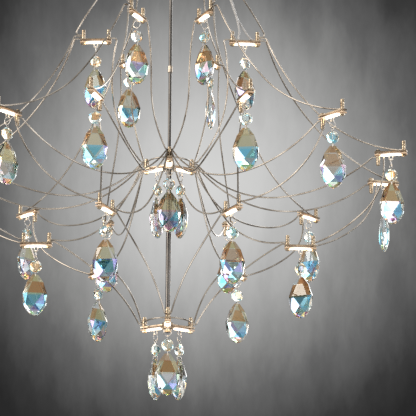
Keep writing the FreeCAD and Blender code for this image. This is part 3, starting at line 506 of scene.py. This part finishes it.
def closed_wire(path, radius):
    """A round wire along a closed path in one plane: each ring of points is radius * (cos t, sin t)
    square to the path, on the direction across it in the plane and on the plane's normal."""
    ahead = np.roll(path, -1, 0) - path
    back = np.roll(ahead, 1, 0)
    way = (ahead / np.linalg.norm(ahead, axis=1)[:, None]
           + back / np.linalg.norm(back, axis=1)[:, None])
    way = way / np.linalg.norm(way, axis=1)[:, None]
    normal = np.linalg.svd(path - path.mean(0))[2][2]
    across = np.cross(way, normal)
    across = across / np.linalg.norm(across, axis=1)[:, None]
    third = np.cross(way, across)
    t = np.linspace(0, 2 * np.pi, LINK_SIDES, endpoint=False)
    grid = path[:, None] + radius * (np.cos(t)[None, :, None] * across[:, None]
                                     + np.sin(t)[None, :, None] * third[:, None])
    i, j = np.meshgrid(np.arange(len(path)), np.arange(LINK_SIDES), indexing="ij")
    here = i * LINK_SIDES
    ahead_of_it = ((i + 1) % len(path)) * LINK_SIDES
    beside = (j + 1) % LINK_SIDES
    faces = np.stack([here + j, here + beside, ahead_of_it + beside, ahead_of_it + j], axis=-1)
    return grid.reshape(-1, 3), faces.reshape(-1, 4)


def circle(middle, radius, first, second, count):
    """Points of a circle: middle + radius * (first cos t + second sin t)."""
    t = np.linspace(0, 2 * np.pi, count, endpoint=False)
    return middle + radius * (np.cos(t)[:, None] * first + np.sin(t)[:, None] * second)


def joined(meshes):
    """Several (points, faces) as one."""
    offsets = np.cumsum([0] + [len(points) for points, _ in meshes[:-1]])
    return (np.concatenate([points for points, _ in meshes]),
            [tuple(int(v) + int(offset) for v in face) for (_, faces), offset in zip(meshes, offsets)
             for face in faces])


def stirrup_path():
    """Rounded rectangle in the (across, up) plane: its corners are quarter circles."""
    t = np.linspace(0, np.pi / 2, 5)
    high, low = STIRRUP_TOP - STIRRUP_CORNER, STIRRUP_LOW + STIRRUP_CORNER
    out = STIRRUP_HALF - STIRRUP_CORNER
    runs = []
    for number, (x, z) in enumerate(((out, high), (-out, high), (-out, low), (out, low))):
        turn = t + number * np.pi / 2
        runs.append(np.stack([x + STIRRUP_CORNER * np.cos(turn), z + STIRRUP_CORNER * np.sin(turn)],
                             axis=-1))
    return np.concatenate(runs)


def links(middle, out, facing):
    """Ring, eye, shank and stirrup of one pendant."""
    side = np.cross(UP, out)
    ring = closed_wire(circle(middle + UP * RING_MIDDLE, RING_RADIUS, side, UP, RING_STEPS), RING_WIRE)
    eye = closed_wire(circle(middle + UP * EYE_MIDDLE, EYE_RADIUS, out, UP, EYE_STEPS), PIN_WIRE)
    shank_height = EYE_MIDDLE - EYE_RADIUS - STIRRUP_TOP
    shank = turned_shapes([(middle + UP * STIRRUP_TOP, 1, [0, shank_height], [PIN_WIRE, PIN_WIRE])],
                          LINK_SIDES)
    outline = stirrup_path()
    stirrup = closed_wire(middle + outline[:, :1] * facing + outline[:, 1:] * UP, PIN_WIRE)
    return joined([ring, eye, shank, stirrup])


bright_pin = plated("bright nickel plate, pin wire", "#e2ddd6", "#b9b0a5", 0.08, 0.18, 3.0, 0.1)
dress(["crystal_clips"], bright_pin)

# ------------------------------------------------------------------ cut crystal
# Machine-cut lead crystal: an octagon bead over a pear drop. The drop has a wide front facet from
# its hole to a sharp line near half its height, kite facets under it and small ones at the tip. A
# vapour coat shows olive, copper and brown above the line, cyan, white and violet below.
BEAD_MIDDLE, BEAD_FLATS, BEAD_THICK, BEAD_RIM = -27.2 * MM, 14 * MM, 8 * MM, 1.4 * MM
BEAD_TABLE, STAR_OUT, STAR_DEPTH = 8.6 * MM, 5.9 * MM, 2.5 * MM
DROP_TOP, DROP_LENGTH, DROP_WIDTH, DROP_THICK = -37.3 * MM, 50 * MM, 29 * MM, 14 * MM
# each ring's depth, width and thickness as shares of the drop's, the half angle of its flat in
# front (0 puts a corner there) and the half steps that it is turned on from the first ring
DROP_RINGS = ((0.0, 0.24, 0.17, 16, 0), (0.18, 0.70, 0.52, 22, 0), (0.47, 1.04, 1.06, 38, 0),
              (0.73, 0.94, 0.90, 0, 1), (0.87, 0.70, 0.66, 38, 2), (0.965, 0.38, 0.32, 0, 3))
DROP_REGIONS = ("upper", "upper", "lower", "lower", "tip", "tip")
TINTS = {
    "upper": ("#f0e4ba", "#dca870", "#fffdf4", "#dedaa8", "#d09a68", "#eef6fa", "#e4e0ba", "#b87c4a"),
    "lower": ("#78c6e2", "#aedce8", "#e6eaec", "#a8a0de", "#9cd2c6", "#d4b2ca", "#62b4dc", "#c6beb2"),
    "tip": ("#f8de80", "#ea9e6c", "#a4e294", "#84b8f2", "#d890c0", "#c48a62", "#d8f2ee", "#ffffff"),
    "edge": ("#ffffff", "#f4fafc", "#fbf6ec", "#eef4f4", "#e6f2fa"),
    "bead": ("#ffffff", "#eef9fd", "#fcecca", "#dcf4f6", "#ffffff", "#ecdcc2", "#f8b878", "#94def4")}
MOST_MIRROR = {"upper": 0.12, "lower": 0.30, "tip": 0.35, "edge": 0.20, "bead": 0.30}
EDGE_TURN = 0.6
SOLID_LINE_BELOW_TOP, SAME_HEIGHT = 0.62, 0.4 * MM
FIRST_SEED = 40


def ring_points(middle, first, second, wide, deep, degrees):
    """Corners of one ring: middle + deep cos t first + wide sin t second."""
    t = np.radians(degrees)
    return middle + deep * np.cos(t)[:, None] * first + wide * np.sin(t)[:, None] * second


def stacked_facets(rings, turns):
    """Facets between rings of corners, which run the same way round from top to bottom: quads
    between rings of the same turn, triangles where the next ring's corners lie half a step on or
    back. A last ring of one point is a tip, and any other end is capped. Also gives each facet's
    band."""
    starts = np.cumsum([0] + [len(ring) for ring in rings])
    faces, bands = [tuple(range(len(rings[0])))], [0]
    for band in range(len(rings) - 1):
        n = len(rings[band])
        for k in range(n):
            a, b = starts[band] + k, starts[band] + (k + 1) % n
            if len(rings[band + 1]) == 1:
                new = [(a, starts[band + 1], b)]
            else:
                c, d = starts[band + 1] + k, starts[band + 1] + (k + 1) % n
                if turns[band] == turns[band + 1]:
                    new = [(a, c, d, b)]
                elif turns[band] > turns[band + 1]:
                    new = [(a, c, d), (a, d, b)]
                else:
                    new = [(a, c, b), (b, c, d)]
            faces += new
            bands += [band] * len(new)
    if len(rings[-1]) > 1:
        faces.append(tuple(range(starts[-2], starts[-1]))[::-1])
        bands.append(len(rings) - 2)
    return np.concatenate(rings), faces, bands


def cut_bead(middle, facing):
    """Octagon bead: table, star corners, girdle and the same behind, stacked along its thickness."""
    side = np.cross(UP, facing)
    centre = middle + UP * BEAD_MIDDLE
    to_corner = 1 / math.cos(math.pi / 8)
    table, rim = BEAD_TABLE / 2 * to_corner, BEAD_FLATS / 2 * to_corner
    steps = ((BEAD_THICK / 2, table, 0.5), (STAR_DEPTH, STAR_OUT, 0.0), (BEAD_RIM / 2, rim, 0.5),
             (-BEAD_RIM / 2, rim, 0.5), (-STAR_DEPTH, STAR_OUT, 0.0), (-BEAD_THICK / 2, table, 0.5))
    rings = [ring_points(centre + depth * facing, side, UP, radius, radius, (np.arange(8) + turn) * 45)
             for depth, radius, turn in steps]
    return stacked_facets(rings, [turn for _, _, turn in steps])


def drop_corners(front, turn):
    """Degrees of a ring's eight corners: with a flat in front and behind out to the front angle, or
    with a corner there when it is 0. Every second ring begins one corner further on."""
    flat = (front, 72, 108, 180 - front, 180 + front, 252, 288, 360 - front)
    pointed = (55, 90, 125, 180, 235, 270, 305, 360)
    return np.roll(flat if front else pointed, -(turn // 2))


def cut_drop(middle, facing):
    """Pear drop: eight corners a ring, flattened towards its faces, brought to a point below."""
    side = np.cross(UP, facing)
    rings = [ring_points(middle + UP * (DROP_TOP - down * DROP_LENGTH), facing, side,
                         wide * DROP_WIDTH / 2, deep * DROP_THICK / 2, drop_corners(front, turn))
             for down, wide, deep, front, turn in DROP_RINGS]
    rings.append((middle + UP * (DROP_TOP - DROP_LENGTH))[None, :])
    return stacked_facets(rings, [turn for *_, turn in DROP_RINGS] + [0])


def coated_crystal():
    """Clear crystal under a vapour coat: each facet passes its own tint and mirrors a share of it."""
    material, tree = empty_material("vapour-coated cut crystal")
    tint = add(tree, "ShaderNodeAttribute", attribute_name="coat_tint").outputs["Color"]
    mirror = add(tree, "ShaderNodeAttribute", attribute_name="coat_mirror").outputs["Fac"]
    skin = add(tree, "ShaderNodeBsdfPrincipled",
               {"Base Color": tint, "Metallic": mirror, "Roughness": 0.015, "IOR": 1.40,
                "Transmission Weight": 1.0})
    add(tree, "ShaderNodeOutputMaterial", {"Surface": skin.outputs[0]})
    return material


def drop_regions(points, faces, bands, facing):
    """Region of each facet of a drop, by its band, or edge on the narrow sides, where the coat shows
    least: the facet's middle lies, in units of half the drop, less than EDGE_TURN times as far
    forward as sideways."""
    middles = np.array([points[list(face)].mean(0) for face in faces]) - points.mean(0)
    forward = np.abs(middles @ facing) / (DROP_THICK / 2)
    sideways = np.abs(middles @ np.cross(UP, facing)) / (DROP_WIDTH / 2)
    on_edge = forward < EDGE_TURN * sideways
    return ["edge" if edge else DROP_REGIONS[band] for edge, band in zip(on_edge, bands)]


def facet_finish(regions, chance):
    """A tint and a mirror share for each facet, drawn at random from what its region allows."""
    tints, mirrors = [], []
    for region in regions:
        choice = TINTS[region]
        tints.append(hex_colour(choice[int(chance.integers(len(choice)))]))
        mirrors.append(float(chance.random()) * MOST_MIRROR[region])
    return tints, mirrors


def facing_of(node, pivot):
    """Unit vector across the drop's thickness, square to the widest corners of its solid, which lie
    somewhat below the line of the cut drop."""
    points = np.array([corner.co for corner in nodes[node].data.vertices])
    widest = pivot[2] + PIVOT_BELOW_BAR + DROP_TOP - SOLID_LINE_BELOW_TOP * DROP_LENGTH
    belt = points[np.abs(points[:, 2] - widest) < SAME_HEIGHT][:, :2]
    wide = np.linalg.svd(belt - belt.mean(0))[2][0]
    return np.array([wide[1], -wide[0], 0.0])


def coat(glass, faces, tints, mirrors):
    """Writes each facet's tint and mirror share on its corners."""
    corners = [len(face) for face in faces]
    tint = glass.data.attributes.new("coat_tint", "FLOAT_COLOR", "CORNER")
    tint.data.foreach_set("color", np.repeat(np.array(tints), corners, axis=0).ravel())
    mirror = glass.data.attributes.new("coat_mirror", "FLOAT", "CORNER")
    mirror.data.foreach_set("value", np.repeat(np.array(mirrors), corners))


crystal = coated_crystal()
for number, joint in enumerate(frame["joints"]):
    body = joint["child"]
    node = body.replace("crystal", "pendant")
    pivot = np.array(joint["pos_m"])
    bar_middle = pivot + UP * PIVOT_BELOW_BAR
    facing = facing_of(node, pivot)
    chance = np.random.default_rng(number + FIRST_SEED)
    metal = piece(body + "_links", *links(bar_middle, np.array(joint["axis"]), facing), bright_pin, body,
                  "plated_pin")
    bead_points, bead_faces, bead_bands = cut_bead(bar_middle, facing)
    drop_points, drop_faces, drop_bands = cut_drop(bar_middle, facing)
    glass = piece(body + "_glass", *joined([(bead_points, bead_faces), (drop_points, drop_faces)]),
                  crystal, body, "coated_crystal", smooth=False)
    bead_tints, bead_mirrors = facet_finish(["bead"] * len(bead_bands), chance)
    drop_tints, drop_mirrors = facet_finish(
        drop_regions(drop_points, drop_faces, drop_bands, facing), chance)
    coat(glass, bead_faces + drop_faces, bead_tints + drop_tints, bead_mirrors + drop_mirrors)
    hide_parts(node)
    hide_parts(node)
